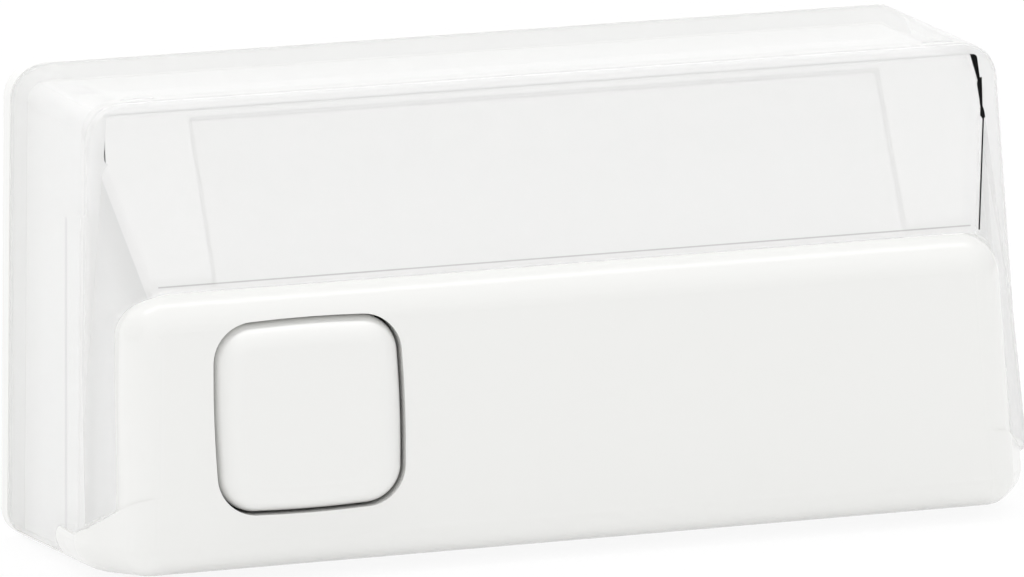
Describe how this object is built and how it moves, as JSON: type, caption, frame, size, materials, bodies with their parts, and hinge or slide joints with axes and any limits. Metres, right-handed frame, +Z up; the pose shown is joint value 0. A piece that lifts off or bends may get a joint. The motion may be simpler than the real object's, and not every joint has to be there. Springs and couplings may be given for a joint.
{
  "type": "doorbell push button",
  "caption": "Wall-mounted doorbell push with a square key, a sloping name window and a clear slide-on hood.",
  "frame": {"origin": "on the upright centre line of the flat back face that lies on the wall, 20.15 mm below its top edge", "axes": "+X to the right seen from the front, +Y into the wall, +Z up"},
  "size_m": [0.0854, 0.033, 0.0415],
  "materials": {
    "white_shell": "satin white moulding",
    "white_key": "satin white moulding",
    "clear_hood": "clear polycarbonate",
    "milky_plastic": "milky translucent",
    "card": "matt white card",
    "seal_rubber": "soft foam rubber",
    "grommet_rubber": "grey rubber",
    "block_plastic": "insulating moulding",
    "contact_brass": "stamped sheet",
    "contact_silver": "silver contact",
    "clamp_steel": "zinc plated",
    "screw_steel": "zinc plated",
    "spring_steel": "drawn wire",
    "lamp_glass": "clear glass tube"
  },
  "bodies": {
    "base": {"back_plate": "white_shell", "rear_seal": "seal_rubber", "cable_grommet": "grommet_rubber", "front_housing": "white_shell", "name_card": "card", "light_diffuser": "milky_plastic", "switch_block": "block_plastic", "fixed_contact_upper": "contact_brass", "fixed_contact_lower": "contact_brass", "fixed_tip_upper": "contact_silver", "fixed_tip_lower": "contact_silver", "lamp_link_left": "contact_brass", "lamp_link_right": "contact_brass", "terminal_clamp_upper": "clamp_steel", "terminal_clamp_lower": "clamp_steel", "terminal_screw_upper": "screw_steel", "terminal_screw_lower": "screw_steel", "lamp_tube": "lamp_glass", "lamp_cap_left": "contact_brass", "lamp_cap_right": "contact_brass", "housing_screw_left": "screw_steel", "housing_screw_right": "screw_steel"},
    "button": {"push_button": "white_key", "contact_bridge": "contact_brass", "bridge_tip_upper": "contact_silver", "bridge_tip_lower": "contact_silver", "return_spring": "spring_steel"},
    "cover": {"clear_cover": "clear_hood"}
  },
  "joints": [
    {"name": "button_press", "type": "slide", "parent": "base", "child": "button", "axis": [0, 1, 0], "range_m": [0, 0.002], "stiffness_N_per_m": 500, "springref_m": -0.003, "deforming": ["return_spring"]},
    {"name": "cover_slide", "type": "slide", "parent": "base", "child": "cover", "axis": [0, 0, 1], "range_m": [0, 0.042]}
  ]
}
